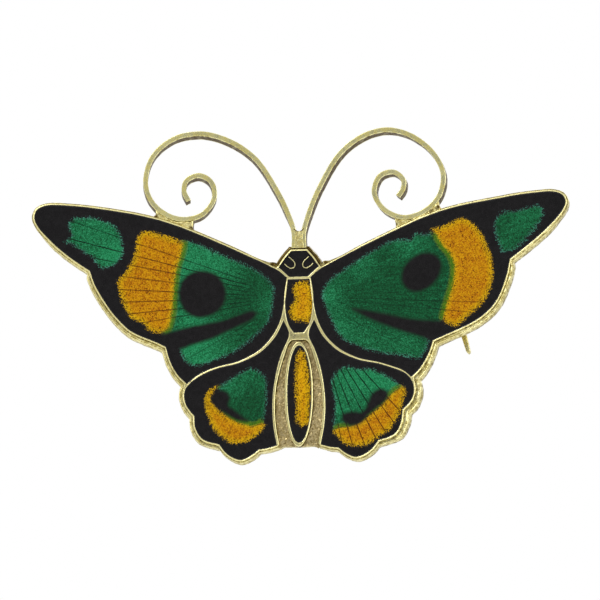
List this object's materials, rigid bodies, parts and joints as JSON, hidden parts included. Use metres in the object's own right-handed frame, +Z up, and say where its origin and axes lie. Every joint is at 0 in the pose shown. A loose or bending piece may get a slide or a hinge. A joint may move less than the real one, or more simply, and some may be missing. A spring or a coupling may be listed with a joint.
{
  "type": "brooch",
  "caption": "Butterfly brooch: an enamelled gilt tray with scrolled wire antennae, worn on a hinged pin that closes into a rotating safety catch.",
  "frame": {"origin": "on the pin's axis, midway between its hinge and its catch", "axes": "+X along the wings to the catch's side, +Y out of the back towards the wearer, +Z up to the antennae; the enamel faces -Y"},
  "size_m": [0.0606, 0.0052, 0.038],
  "materials": {
    "gilt": "satin gilt over silver",
    "gilt_polished": "polished gilt over silver",
    "solder": "gilt solder, slightly rough",
    "enamel_green": "glossy enamel, green with yellow and black shading",
    "enamel_amber": "glossy yellow enamel with brown speckles",
    "enamel_black": "glossy black enamel"
  },
  "bodies": {
    "brooch": {"wing_tray": "gilt", "enamel_forewing_right": "enamel_green", "enamel_forewing_left": "enamel_green", "enamel_hindwing_right": "enamel_green", "enamel_hindwing_left": "enamel_green", "enamel_head": "enamel_black", "enamel_thorax": "enamel_amber", "enamel_abdomen": "enamel_amber", "eye_wire_right": "gilt_polished", "eye_wire_left": "gilt_polished", "antenna_right": "gilt", "solder_seat_right": "solder", "antenna_left": "gilt", "solder_seat_left": "solder", "antenna_stem_solder": "solder", "hinge_patch": "solder", "hinge_bracket": "gilt", "hinge_rivet": "gilt_polished", "catch_patch": "solder", "catch_housing": "gilt"},
    "pin": {"pin_stem": "gilt_polished"},
    "roller": {"catch_roller": "gilt_polished", "catch_lever": "gilt_polished"}
  },
  "joints": [
    {"name": "pin_swing", "type": "hinge", "parent": "brooch", "child": "pin", "pos_m": [-0.016, 0, 0], "axis": [0, 0, 1], "range_deg": [0, 100]},
    {"name": "catch_turn", "type": "hinge", "parent": "brooch", "child": "roller", "pos_m": [0.016, 0, 0], "axis": [1, 0, 0], "range_deg": [0, 150]}
  ]
}
